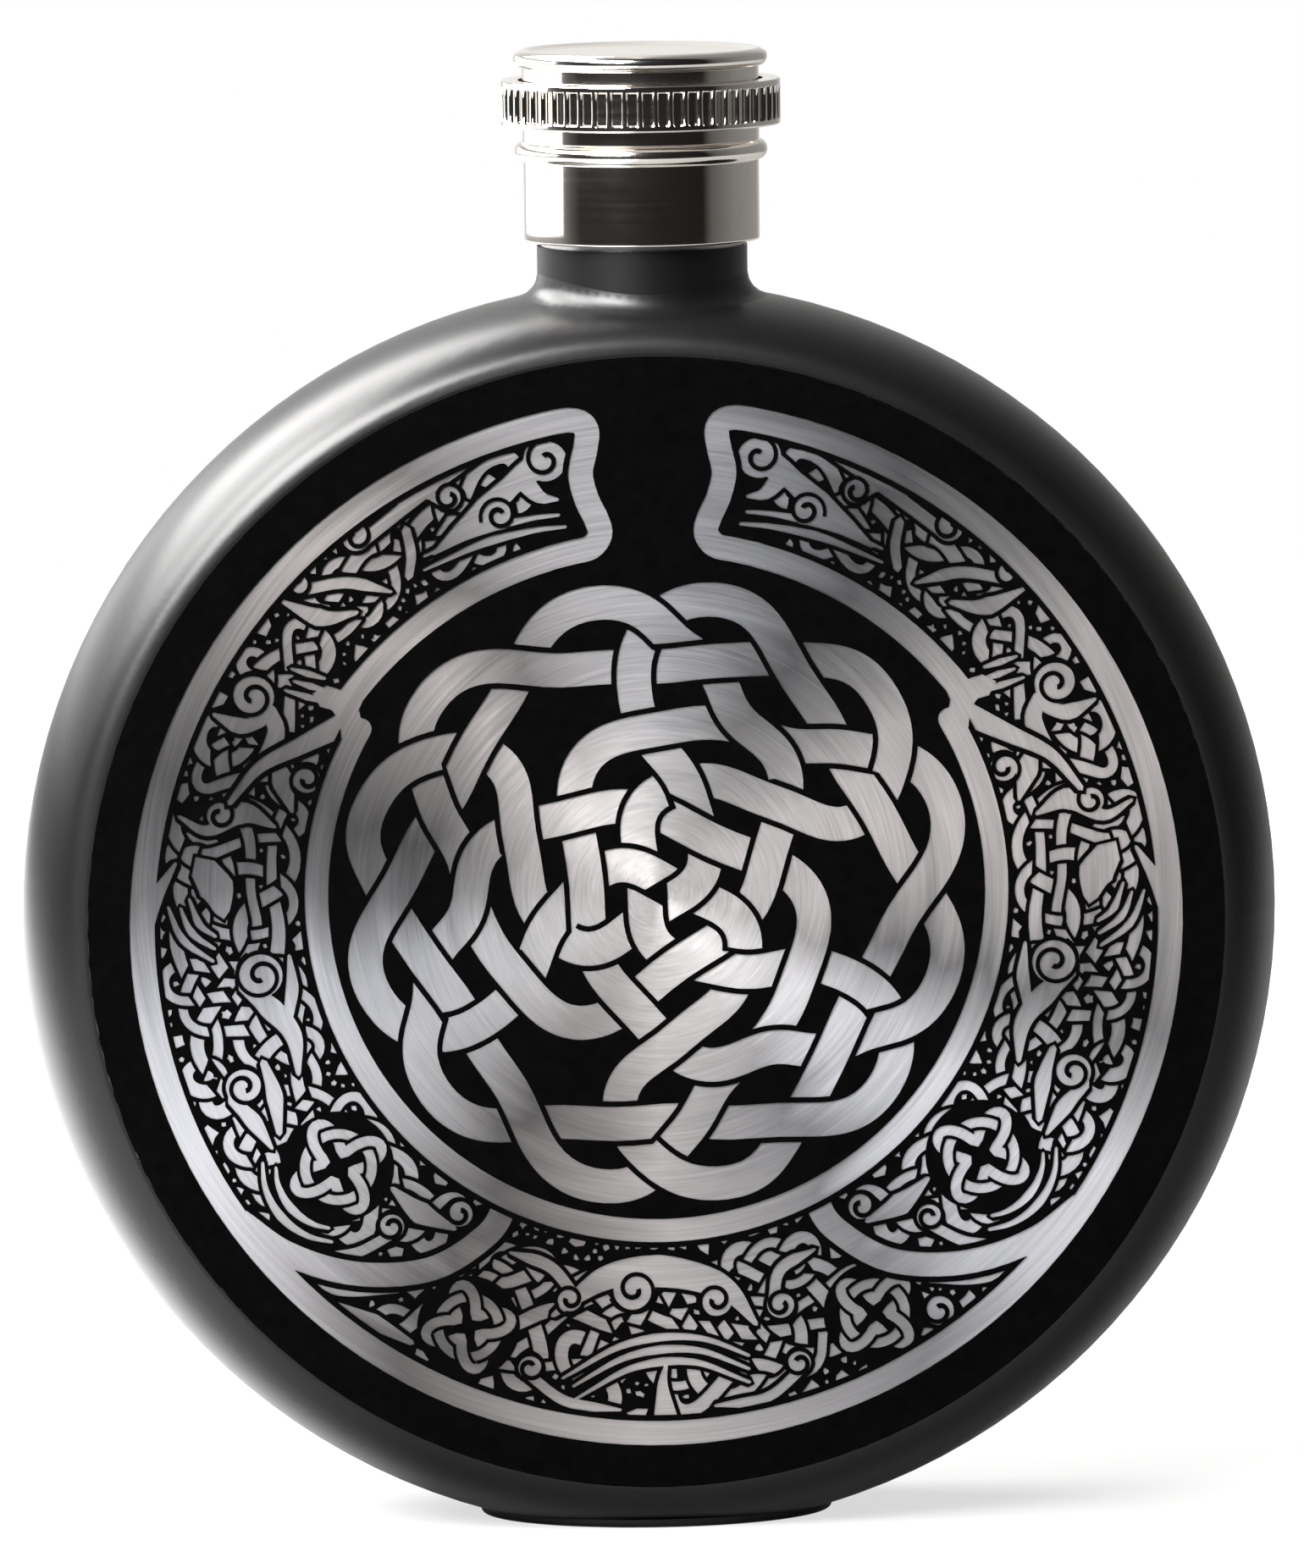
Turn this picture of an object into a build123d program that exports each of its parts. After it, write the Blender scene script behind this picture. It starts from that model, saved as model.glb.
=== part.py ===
"""Round pocket flask with a screw cap, in millimetres.

The origin is the centre of the base plate's underside. +Z is up through the neck and the cap,
-Y is the engraved front and +Y the plain back.
"""
from build123d import *
import os

# Driving dimensions of the body
BODY_R = 50.8          # outside of the round body, seen from the front
HALF_DEPTH = 11.5      # from the seam to either flat face
FLAT_R = 46.0          # where a flat face starts to roll over into the side
WALL = 0.6             # drawn steel sheet
BODY_Z = 49.4          # height of the body's centre
BASE_TOP = 0.7         # height of the flat under the body, where the base plate starts

# Driving dimensions of the neck, the spout and its thread
NECK_R = 8.5
NECK_WALL = 0.75
NECK_TOP = 103.3
NECK_FLARE = 2.0       # fillet between the neck and the body
BORE_R = 6.4
SPOUT_FOOT = 98.5
SPOUT_TOP = 114.6
ROOT_R = 7.0           # spout outside between its threads
PITCH = 2.0
THREAD_DEPTH = 0.7
THREAD_TURNS = 2.0
THREAD_FOOT_WIDTH = 1.1
THREAD_CREST_WIDTH = 0.5
SPOUT_THREAD_Z = 106.5

# Driving dimensions of the cap
SKIRT_R = 9.5
CAP_WALL = 0.5
CAP_FOOT = 103.7
CAP_TOP = 119.15
LINING_TOP = 118.35
SEAL_THICK = 1.5
GAP = 0.02             # between the seal and what it touches

# Engraved plate in the front face
PLATE_R = 45.7
PLATE_THICK = 0.25
COAT_THICK = 0.15
SEAT_SLACK = 0.05


def body_blank(radius, front, back, flat_r):
    """Solid round body whose sides are half ellipses, from y = -front to y = back."""
    side_front = EllipticalCenterArc((flat_r, 0), radius - flat_r, front, start_angle=-90, arc_size=90)
    side_back = EllipticalCenterArc((flat_r, 0), radius - flat_r, back, start_angle=0, arc_size=90)
    outline = [
        Line((0, -front), (flat_r, -front)),
        side_front,
        side_back,
        Line((flat_r, back), (0, back)),
        Line((0, back), (0, -front)),
    ]
    return Pos(0, 0, BODY_Z) * revolve(make_face(outline), Axis.Y)


def upright_disc(radius, y_from, y_to):
    """Disc facing -Y, centred on the body."""
    middle = (y_from + y_to) / 2
    return Pos(0, middle, BODY_Z) * Rot(90, 0, 0) * Cylinder(radius, y_to - y_from)


def rod(radius, z_from, z_to):
    """Vertical cylinder on the neck's axis."""
    return Pos(0, 0, (z_from + z_to) / 2) * Cylinder(radius, z_to - z_from)


def both_shells():
    """The two drawn half shells, with their half necks, before they are parted at the seam."""
    outside = body_blank(BODY_R, HALF_DEPTH, HALF_DEPTH, FLAT_R) + rod(NECK_R, BODY_Z, NECK_TOP)
    joint_low = BODY_Z + BODY_R - 6
    joint_high = NECK_TOP - 0.5
    foot_of_neck = [
        edge for edge in outside.edges()
        if joint_low < edge.center().Z < joint_high and edge.bounding_box().size.X > NECK_R
    ]
    outside = fillet(foot_of_neck, NECK_FLARE)
    seat_depth = PLATE_THICK + COAT_THICK
    inside = body_blank(BODY_R - WALL, HALF_DEPTH - WALL - seat_depth, HALF_DEPTH - WALL, FLAT_R)
    inside += rod(NECK_R - NECK_WALL, BODY_Z, NECK_TOP + 1)
    seat = upright_disc(PLATE_R + SEAT_SLACK, -HALF_DEPTH - 1, -HALF_DEPTH + seat_depth)
    below = Pos(0, 0, BASE_TOP - 10) * Box(120, 60, 20)
    return outside - inside - seat - below


def half(shell, side):
    """The part of a shell in front of the seam (side -1) or behind it (side 1)."""
    keep = Pos(0, side * 20, 60) * Box(140, 40, 160)
    return shell & keep


def base_plate():
    """Oval foot that closes the flat under the body, with a step that locates it in the opening."""
    foot = extrude(Ellipse(14.3, 9.7), BASE_TOP)
    foot = fillet(foot.edges().group_by(Axis.Z)[0], 0.4)
    step = Pos(0, 0, BASE_TOP) * extrude(Ellipse(11.2, 7.4), 0.5)
    return foot + step


def thread_ridge(root_r, crest_r, z_start):
    """One trapezoidal ridge wound up a right-hand helix, rooted a little inside the wall it stands on."""
    outward = 1 if crest_r > root_r else -1
    bury = 0.15
    flank = (THREAD_FOOT_WIDTH - THREAD_CREST_WIDTH) / 2 / abs(crest_r - root_r)
    foot_half = THREAD_FOOT_WIDTH / 2 + bury * flank
    crest_half = THREAD_CREST_WIDTH / 2
    foot_x = -bury * outward
    crest_x = crest_r - root_r
    path = Helix(PITCH, PITCH * THREAD_TURNS, root_r)
    section = Plane(origin=(root_r, 0, 0), x_dir=(1, 0, 0), z_dir=(0, 1, 0)) * make_face(
        Polyline(
            (foot_x, -foot_half), (crest_x, -crest_half), (crest_x, crest_half), (foot_x, foot_half),
            close=True,
        )
    )
    return Pos(0, 0, z_start) * sweep(section, path, is_frenet=True)


def spout():
    """Turned spout: it stands in the neck, carries the outer thread and ends in the pouring lip."""
    tube = rod(NECK_R - NECK_WALL, SPOUT_FOOT, NECK_TOP) + rod(NECK_R - 0.3, NECK_TOP, CAP_FOOT)
    tube += rod(ROOT_R, CAP_FOOT, SPOUT_TOP)
    tube += thread_ridge(ROOT_R, ROOT_R + THREAD_DEPTH, SPOUT_THREAD_Z)
    tube -= rod(BORE_R, SPOUT_FOOT - 1, SPOUT_TOP + 1)
    lip = tube.edges().group_by(Axis.Z)[-1]
    return fillet(lip, 0.2)


def cap_shell():
    """Plated cap with a plain skirt, a lower bead, a waist for the grip ring and a top bead."""
    waist_r = SKIRT_R + 0.05
    low_bead, low_crest, low_bead_end = 110.15, 110.9, 111.8
    top_bead, top_crest = 117.7, 118.4
    ceiling = LINING_TOP
    crown = 0.25
    outline = [
        Line((SKIRT_R - CAP_WALL, CAP_FOOT), (SKIRT_R, CAP_FOOT)),
        Line((SKIRT_R, CAP_FOOT), (SKIRT_R, low_bead)),
        ThreePointArc((SKIRT_R, low_bead), (10.2, low_crest), (waist_r, low_bead_end)),
        Line((waist_r, low_bead_end), (waist_r, top_bead)),
        ThreePointArc((waist_r, top_bead), (10.25, top_crest), (9.65, CAP_TOP)),
        Line((9.65, CAP_TOP), (9.0, CAP_TOP)),
        Line((9.0, CAP_TOP), (8.6, CAP_TOP - crown)),
        Line((8.6, CAP_TOP - crown), (0, CAP_TOP - crown)),
        Line((0, CAP_TOP - crown), (0, ceiling)),
        Line((0, ceiling), (SKIRT_R - CAP_WALL, ceiling)),
        Line((SKIRT_R - CAP_WALL, ceiling), (SKIRT_R - CAP_WALL, CAP_FOOT)),
    ]
    return revolve(Plane.XZ * make_face(outline), Axis.Z)


def grip_ring():
    """Ring pressed on the cap's waist. Its flutes stop short of both edges and leave two rims."""
    ring_foot, ring_top, ring_r = 113.0, 116.7, 11.27
    flutes = 56
    rim = 0.35
    flute_r = 0.45
    ring = rod(ring_r, ring_foot, ring_top)
    ring = chamfer(ring.edges(), 0.12)
    ring -= rod(SKIRT_R + 0.05, ring_foot - 1, ring_top + 1)
    flute_height = ring_top - ring_foot - 2 * rim
    flute = Cylinder(flute_r, flute_height)
    middle = (ring_foot + ring_top) / 2
    return ring - Pos(0, 0, middle) * PolarLocations(ring_r + 0.1, flutes) * flute


def thread_insert():
    """Moulded lining of the cap with the inner thread, closed by a web above the seal."""
    inner_r = ROOT_R + THREAD_DEPTH + 0.25
    foot = CAP_FOOT + 0.6
    web_foot = SPOUT_TOP + SEAL_THICK
    web_top = web_foot + 1.4
    top = LINING_TOP
    lining = rod(SKIRT_R - CAP_WALL, foot, top)
    lining -= rod(inner_r, foot - 1, web_foot)
    lining -= rod(inner_r - 0.4, web_top, top + 1)
    half_pitch_below = SPOUT_THREAD_Z - PITCH / 2
    return lining + thread_ridge(inner_r, ROOT_R + 0.2, half_pitch_below)


def cap_seal():
    """Soft washer between the spout's lip and the lining's web."""
    disc = rod(ROOT_R + 0.75, SPOUT_TOP + GAP, SPOUT_TOP + SEAL_THICK - GAP)
    return fillet(disc.edges(), 0.2)


def main():
    shells = both_shells()
    parts = {
        "front_shell": half(shells, -1),
        "back_shell": half(shells, 1),
        "base_plate": base_plate(),
        "spout": spout(),
        "face_plate": upright_disc(PLATE_R, -HALF_DEPTH + COAT_THICK, -HALF_DEPTH + COAT_THICK + PLATE_THICK),
        "face_coat": upright_disc(PLATE_R, -HALF_DEPTH, -HALF_DEPTH + COAT_THICK),
        "cap_shell": cap_shell(),
        "grip_ring": grip_ring(),
        "thread_insert": thread_insert(),
        "cap_seal": cap_seal(),
    }
    os.makedirs("parts", exist_ok=True)
    for name, shape in parts.items():
        export_step(shape, f"parts/{name}.step")
        print(f"{name}: {len(shape.solids())} solid, {shape.volume:.1f} cubic mm")


main()
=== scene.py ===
"""Looks of the round pocket flask: powder-coated body, engraved front disc and plated screw cap.

The engraving is worked out in millimetres on the front face, X to the right and Y up from the disc's
centre. It is a stack of flat patches: the highest one over a point says whether steel or coat shows there.
"""
import random
from math import atan2, cos, degrees, hypot, pi, radians, sin, sqrt

import bpy
import numpy as np
from mathutils import Matrix, Vector
from mathutils.geometry import delaunay_2d_cdt
from mathutils.kdtree import KDTree


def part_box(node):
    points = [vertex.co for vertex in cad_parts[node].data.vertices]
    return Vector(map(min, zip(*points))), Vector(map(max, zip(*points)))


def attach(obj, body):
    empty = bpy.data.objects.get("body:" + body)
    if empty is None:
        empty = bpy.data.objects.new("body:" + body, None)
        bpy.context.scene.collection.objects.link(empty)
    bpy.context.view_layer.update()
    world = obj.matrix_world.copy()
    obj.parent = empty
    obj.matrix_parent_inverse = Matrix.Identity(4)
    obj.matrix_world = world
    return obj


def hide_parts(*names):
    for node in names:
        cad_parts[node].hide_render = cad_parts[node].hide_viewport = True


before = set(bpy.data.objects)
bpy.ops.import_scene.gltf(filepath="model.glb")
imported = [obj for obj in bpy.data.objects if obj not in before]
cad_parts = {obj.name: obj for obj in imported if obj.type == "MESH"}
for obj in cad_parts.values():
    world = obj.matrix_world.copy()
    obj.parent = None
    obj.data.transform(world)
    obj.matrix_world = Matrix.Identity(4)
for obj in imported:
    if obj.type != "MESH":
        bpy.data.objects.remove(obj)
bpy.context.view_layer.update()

MM = 0.001
COAT_LOW, COAT_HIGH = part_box("face_coat")
DISC_R = (COAT_HIGH.x - COAT_LOW.x) / 2 / MM
DISC_Z = (COAT_HIGH.z + COAT_LOW.z) / 2

STEP = 0.42                        # spacing of the points along a strand
ROUNDEL = np.array([0.0, 2.5])     # centre of the large knot
ROUNDEL_R = 27.35                  # centreline of the ring round it
BAND = 2.0                         # width of the collar's edge
OUTER_R = 41.35                    # centrelines of the collar's outer and inner edge
INNER_R = 30.8
CUSP_Y = 16.5                      # where the side panels end in a cusp under the inner edge
TERMINAL_X = -6.6                  # right end of the left panel at the top

# Layers of the pattern, from the lowest up
FILL, FIGURE, SMALL_KNOT, GROUND, EDGE, JOIN, LARGE_KNOT = 10, 14, 18, 25, 30, 32, 40


# ---- lines

def unit(v):
    return v / hypot(v[0], v[1])


def left_of(v):
    return np.array([-v[1], v[0]])


def cross(a, b):
    return a[..., 0] * b[..., 1] - a[..., 1] * b[..., 0]


def signed_area(p):
    x, y = p.T
    return (x * np.roll(y, -1) - y * np.roll(x, -1)).sum() / 2


def arc(centre, radius, start, end, step=0.6):
    """Points of a circular arc, angles in degrees, both ends included."""
    count = max(3, int(abs(radians(end - start)) * radius / step) + 1)
    a = np.radians(np.linspace(start, end, count))
    return np.c_[centre[0] + radius * np.cos(a), centre[1] + radius * np.sin(a)]


def spaced(points, closed, step=STEP):
    """The same line with even spacing. A closed line doesn't repeat its first point."""
    p = np.vstack([points, points[:1]]) if closed else np.asarray(points, float)
    d = np.r_[0, np.cumsum(np.hypot(*np.diff(p, axis=0).T))]
    count = max(8, int(round(d[-1] / step)))
    t = np.linspace(0, d[-1], count, endpoint=not closed)
    return np.c_[np.interp(t, d, p[:, 0]), np.interp(t, d, p[:, 1])]


def curve_through(points, step=STEP):
    """Smooth open line through a few points (Catmull-Rom), evenly spaced."""
    p = np.asarray(points, float)
    p = np.vstack([2 * p[0] - p[1], p, 2 * p[-1] - p[-2]])
    out = []
    s = np.linspace(0, 1, 24, endpoint=False)[:, None]
    for a, b, c, d in zip(p, p[1:], p[2:], p[3:]):
        out.append(0.5 * (2 * b + (c - a) * s + (2 * a - 5 * b + 4 * c - d) * s ** 2
                          + (3 * b - a - 3 * c + d) * s ** 3))
    out.append(p[-2:-1])
    return spaced(np.vstack(out), False, step)


def directions(points, closed):
    """Unit tangents at the points."""
    if closed:
        t = np.roll(points, -1, 0) - np.roll(points, 1, 0)
    else:
        t = np.gradient(points, axis=0)
    return t / np.maximum(np.hypot(*t.T), 1e-9)[:, None]


def to_the_right(tangents):
    return tangents @ np.array([[0, 1], [-1, 0]])


def taper(count, *widths):
    """Widths along count points, fading from one of the given widths to the next."""
    return np.interp(np.linspace(0, 1, count), np.linspace(0, 1, len(widths)), widths)


# ---- knots from planar graphs
# A knot has a crossing on the middle of each edge, and its strands run from there round each corner.

def turn_piece(p0, t0, p1, t1):
    """Bezier close to a round arc from p0 along t0 to p1 along t1."""
    chord = hypot(*(p1 - p0))
    turn = max(abs(atan2(cross(t0, t1), np.dot(t0, t1))), 1e-3)
    handle = min(4 / 3 * np.tan(turn / 4) / (2 * sin(turn / 2)), 0.75) * chord
    s = np.linspace(0, 1, max(6, int(chord / STEP)), endpoint=False)[:, None]
    a, b = p0 + t0 * handle, p1 - t1 * handle
    return (1 - s) ** 3 * p0 + 3 * s * (1 - s) ** 2 * a + 3 * s * s * (1 - s) * b + s ** 3 * p1


def corner(start, out_dir, end, in_dir, pivot, angle):
    """A strand's way round a graph corner. Where the corner is wide it goes over a tip beyond the pivot."""
    if angle < radians(235):
        return turn_piece(start, out_dir, end, in_dir)
    r = (hypot(*(start - pivot)) + hypot(*(end - pivot))) / 2
    away = 2 * pivot - start - end
    away = unit(away) if hypot(*away) > 1e-6 else unit(out_dir - in_dir)
    tip = pivot + away * r * 1.1
    along = left_of(away) if cross(out_dir, away) > 0 else -left_of(away)
    return np.vstack([turn_piece(start, out_dir, tip, along), turn_piece(tip, along, end, in_dir)])


def graph_knot(points, edges):
    """Closed strands of the alternating knot whose crossings sit on the edges' midpoints."""
    P = np.array(points, float)
    around = [[] for _ in P]
    for k, (a, b) in enumerate(edges):
        for v, w in ((a, b), (b, a)):
            d = P[w] - P[v]
            around[v].append((atan2(d[1], d[0]), k, w))
    for spokes in around:
        spokes.sort()
    half = sqrt(0.5)
    seen, strands = set(), []
    for k0, ends in enumerate(edges):
        for v0 in ends:
            for side0 in (1, -1):
                k, v, side = k0, v0, side0
                pieces = []
                while (k, v, side) not in seen:
                    a, b = edges[k]
                    w = b if v == a else a
                    seen.update([(k, v, side), (k, w, side)])
                    d = unit(P[v] - P[w])
                    spokes = around[v]
                    at = next(i for i, spoke in enumerate(spokes) if spoke[1] == k)
                    back = spokes[at][0]
                    ahead, k2, u = spokes[(at - side) % len(spokes)]
                    angle = ((back - ahead) * side) % (2 * pi)
                    angle = 2 * pi if k2 == k else angle
                    e = unit(P[u] - P[v])
                    go = (d + left_of(d) * side) * half
                    come = (e - left_of(e) * side) * half
                    pieces.append(corner((P[a] + P[b]) / 2, go, (P[v] + P[u]) / 2, come, P[v], angle))
                    k, v, side = k2, u, -side
                if pieces:
                    strands.append(spaced(np.vstack(pieces), True))
    return strands


# ---- crossings of closed strands

def find_crossings(strands):
    """[(strand, position, strand, position)] of each place where lines cross; position counts points."""
    A = np.vstack(strands)
    B = np.vstack([np.roll(p, -1, 0) for p in strands])
    owner = np.concatenate([np.full(len(p), s) for s, p in enumerate(strands)])
    index = np.concatenate([np.arange(len(p)) for p in strands])
    mid, half = (A + B) / 2, np.hypot(*(B - A).T).max()
    found = []
    order = np.argsort(mid[:, 0])
    xs = mid[order, 0]
    for i in range(len(A)):
        lo, hi = np.searchsorted(xs, [mid[i, 0] - half, mid[i, 0] + half])
        near = order[lo:hi]
        near = near[(near > i) & (np.abs(mid[near, 1] - mid[i, 1]) < half)]
        if not len(near):
            continue
        r, s = B[i] - A[i], B[near] - A[near]
        slant = cross(r, s)
        slant = np.where(np.abs(slant) < 1e-12, 1e-12, slant)
        d = A[near] - A[i]
        for j, tt, uu in zip(near, cross(d, s) / slant, cross(d, r) / slant):
            if 0 <= tt < 1 and 0 <= uu < 1:
                gap = abs(index[i] - index[j])
                if owner[i] == owner[j] and min(gap, len(strands[owner[i]]) - gap) < 3:
                    continue
                found.append((owner[i], index[i] + tt, owner[j], index[j] + uu))
    return found


def weave(strands, found):
    """For each crossing, whether its first strand is on top: alternating along every strand."""
    passes = [[] for _ in strands]
    for c, (s1, i1, s2, i2) in enumerate(found):
        passes[s1].append((i1, c, 0))
        passes[s2].append((i2, c, 1))
    links = {}
    for row in passes:
        row.sort()
        for (_, c1, e1), (_, c2, e2) in zip(row, row[1:]):
            links.setdefault(c1, []).append((c2, e1, e2))
            links.setdefault(c2, []).append((c1, e2, e1))
    top = {}
    for c in range(len(found)):
        if c in top:
            continue
        top[c] = True
        queue = [c]
        while queue:
            a = queue.pop(0)
            for b, end_a, end_b in links.get(a, []):
                if b not in top:
                    a_over = top[a] == (end_a == 0)
                    top[b] = (not a_over) == (end_b == 0)
                    queue.append(b)
    return [top[c] for c in range(len(found))]


# ---- spreading strands out

def spread(strands, clear, rounds, inside):
    """Moves closed strands until they keep clear of each other away from their own crossings."""
    stiff, push, wider = 0.4, 0.1, 1.25
    sizes = [len(p) for p in strands]
    first = np.r_[0, np.cumsum(sizes)]
    pos = np.vstack(strands)
    gap = np.mean([np.hypot(*np.diff(p, axis=0).T).mean() for p in strands])
    reach = int(round(1.5 * clear / gap))
    partner = np.zeros((len(pos), len(pos)), bool)
    for s, n in enumerate(sizes):
        i = np.arange(n)
        away = np.abs(i[:, None] - i)
        partner[first[s]:first[s + 1], first[s]:first[s + 1]] = np.minimum(away, n - away) < 1.5 * reach
    for s1, i1, s2, i2 in find_crossings(strands):
        a = [first[s1] + (int(i1) + j) % sizes[s1] for j in range(-reach, reach + 1)]
        b = [first[s2] + (int(i2) + j) % sizes[s2] for j in range(-reach, reach + 1)]
        partner[np.ix_(a, b)] = True
        partner[np.ix_(b, a)] = True
    for r in range(rounds):
        want = clear * (wider if r < rounds * 0.6 else 1.0)
        if r % 8 == 0:
            d = pos[:, None] - pos
            near = ((d ** 2).sum(2) < (want + 1.5 * gap) ** 2) & ~partner
            I, J = np.nonzero(np.triu(near))
        d = pos[I] - pos[J]
        dist = np.hypot(*d.T) + 1e-9
        short = np.maximum(want - dist, 0)
        f = d / dist[:, None] * short[:, None] * push
        move = np.zeros_like(pos)
        for k in (0, 1):
            move[:, k] = np.bincount(I, f[:, k], len(pos)) - np.bincount(J, f[:, k], len(pos))
        size = np.hypot(*move.T)
        pos = pos + move * np.minimum(1, 0.3 * gap / np.maximum(size, 1e-9))[:, None]
        for s in range(len(sizes)):
            p = pos[first[s]:first[s + 1]]
            for _ in range(2):
                bend = 0.5 * (np.roll(p, 1, 0) + np.roll(p, -1, 0)) - p
                t = directions(p, True)
                slide = (bend * t).sum(1)[:, None] * t
                stiffen = 0.5 * (np.roll(bend, 1, 0) + np.roll(bend, -1, 0)) - bend
                stiffen -= (stiffen * t).sum(1)[:, None] * t
                p = p + 0.4 * slide - stiff * stiffen
            pos[first[s]:first[s + 1]] = p
        pos = inside(pos)
    return [pos[first[s]:first[s + 1]] for s in range(len(sizes))]


# ---- layered pattern

class Pattern:
    """Flat patches in layers. The highest layer that covers a point decides whether steel shows there.

    A patch is (points, layer, kind, crossing). An "under" patch is steel except where the "gap" patch of
    the same crossing covers it.
    """

    def __init__(self):
        self.patches = []
        self.crossings = 0

    def add(self, points, layer, kind="steel", key=None):
        p = np.asarray(points, float)
        self.patches.append((p if signed_area(p) >= 0 else p[::-1], layer, kind, key))

    def stroke(self, points, width, layer, halo=0.0):
        """One tapered stroke, with a dark edge round it."""
        p = np.asarray(points, float)
        t = directions(p, False)
        n = to_the_right(t)
        half = np.broadcast_to(width, len(p))[:, None] / 2
        for kind, height, extra in (("black", layer - 0.5, halo), ("steel", layer, 0.0)):
            if kind == "black" and halo <= 0:
                continue
            h = half + extra
            tip = p[-1] + t[-1] * h[-1]
            tail = p[0] - t[0] * h[0]
            self.add(np.vstack([p + n * h, tip[None], (p - n * h)[::-1], tail[None]]), height, kind)

    def ribbons(self, strands, widths, gap, layer):
        """Woven closed strands: one that passes under another stops short of the upper one's edge."""
        found = find_crossings(strands)
        top = weave(strands, found)
        base = self.crossings
        self.crossings += len(found)
        dirs = [directions(p, True) for p in strands]
        sides = [to_the_right(d) for d in dirs]
        wide = [np.broadcast_to(w, len(p)) for p, w in zip(strands, widths)]

        def strip(s, idx, extra):
            idx = [i % len(strands[s]) for i in idx]
            p, q, h = strands[s][idx], sides[s][idx], (wide[s][idx] / 2 + extra)[:, None]
            return np.vstack([p + q * h, (p - q * h)[::-1]])

        under = [dict() for _ in strands]
        for c, (s1, i1, s2, i2) in enumerate(found):
            over, oi, low, li = (s1, i1, s2, i2) if top[c] else (s2, i2, s1, i1)
            oi, li = int(round(oi)) % len(strands[over]), int(round(li)) % len(strands[low])
            slant = max(abs(cross(dirs[over][oi], dirs[low][li])), 0.45)
            lean = sqrt(1 - slant ** 2) / slant
            half_over, half_low = wide[over][oi] / 2, wide[low][li] / 2
            step = np.hypot(*np.diff(strands[low], axis=0).T).mean()
            m = int(((half_over + gap) / slant + half_low * lean) / step) + 2
            for j in range(-m, m + 1):
                i = (li + j) % len(strands[low])
                if i not in under[low] or abs(j) < under[low][i][1]:
                    under[low][i] = (base + c, abs(j))
            m = int((half_low / slant + (half_over + gap) * lean) / step) + 3
            self.add(strip(over, range(oi - m, oi + m + 1), gap), layer, "gap", base + c)
        for s, p in enumerate(strands):
            keys = [under[s].get(i, (None, 0))[0] for i in range(len(p))]
            i = 0
            while i < len(p):
                j = i + 1
                while j < len(p) and keys[j] == keys[i] and j - i < 40:
                    j += 1
                kind = "steel" if keys[i] is None else "under"
                self.add(strip(s, range(i, j + 1), 0.0), layer, kind, keys[i])
                i = j

    def into(self, other, flip):
        """Copies the patches into another pattern, mirrored left to right where flip is -1."""
        base = other.crossings
        other.crossings += self.crossings
        for points, layer, kind, key in self.patches:
            other.add(points * (flip, 1), layer, kind, None if key is None else key + base)

    def shows_steel(self, ids):
        """Whether steel shows where the patches with these numbers lie over each other."""
        over = [self.patches[i] for i in ids]
        gaps = {key for _, _, kind, key in over if kind == "gap"}
        over = [(layer, kind) for _, layer, kind, key in over
                if kind != "gap" and not (kind == "under" and key in gaps)]
        highest = max((layer for layer, _ in over), default=None)
        return any(kind != "black" for layer, kind in over if layer == highest)

    def triangles(self, outline):
        """(points, triangles, steel flags) of the face inside outline."""
        verts, faces = [], []
        for points in [outline] + [patch[0] for patch in self.patches]:
            faces.append(list(range(len(verts), len(verts) + len(points))))
            verts += [tuple(q) for q in points]
        points, _, cells, _, _, origins = delaunay_2d_cdt(verts, [], faces, 1, 1e-4, True)
        inside = [(cell, ids) for cell, ids in zip(cells, origins) if 0 in ids]
        flags = [self.shows_steel([i - 1 for i in ids if i]) for _, ids in inside]
        return np.array([tuple(p) for p in points]), np.array([cell for cell, _ in inside]), np.array(flags)


# ---- the large knot and the collar's edge

def ring(r, n, phase):
    a = [radians(phase + 360 * i / n) for i in range(n)]
    return [(r * cos(t), r * sin(t)) for t in a]


def centre_knot(pattern):
    """The large knot: an outer ring of twelve corners, with three arms that meet in a heart."""
    behind, arms, heart = 12, 18, 24
    reach, clear, rounds, width, gap = 24.2, 3.75, 420, 2.78, 0.42
    P, E = [], []
    for j in range(behind):
        P += ring(22.3, 1, 15 + 30 * j + (2.5 if j % 2 == 0 else -2.5))
    P += ring(15.6, 6, 25)
    P += ring(11.0, 3, 48) + ring(11.0, 3, 108)
    P += ring(4.9, 3, 75)
    for j in range(behind):
        E.append((j, (j + 1) % behind))
    for k in range(6):
        E.append((behind + k, 2 * k))
        E.append((behind + k, 2 * k + 1))
    for t in range(3):
        m0, m1 = arms + t, arms + 3 + t
        a0, a1 = behind + 2 * t, behind + 2 * t + 1
        E += [(a0, m0), (a1, m1), (m0, m1), (a0, a1)]
        E += [(heart + t, m0), (heart + t, m1), (heart + t, heart + (t + 1) % 3)]
        E.append((m1, arms + (t + 1) % 3))

    def inside(p):
        return p * np.minimum(1, reach / np.hypot(*p.T))[:, None]

    strands = spread(graph_knot(P, E), clear, rounds, inside)
    pattern.ribbons([s + ROUNDEL for s in strands], [width] * len(strands), gap, LARGE_KNOT)


def left_edge():
    """Centreline of the collar's edge: outer arc, rounded terminal, inner arc, as far as the cusp."""
    terminal = curve_through([(-7.6, 40.64), (-6.6, 40.75), (-5.7, 40.55), (-5.2, 39.8), (-5.35, 38.4),
                              (-5.75, 36.4), (-5.3, 34.4), (-4.5, 32.7), (-4.25, 31.5), (-5.0, 30.5),
                              (-6.4, 30.15), (-8.2, 29.72)], 0.3)
    cusp = curve_through([(-24.75, 17.9), (-24.55, 16.6), (-24.45, 15.0)], 0.3)
    outer, inner = arc((0, 0), OUTER_R, 270, 100.6, 0.5), arc((0, 0), INNER_R, 106, 142, 0.5)
    return np.vstack([outer, terminal, inner, cusp])


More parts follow.
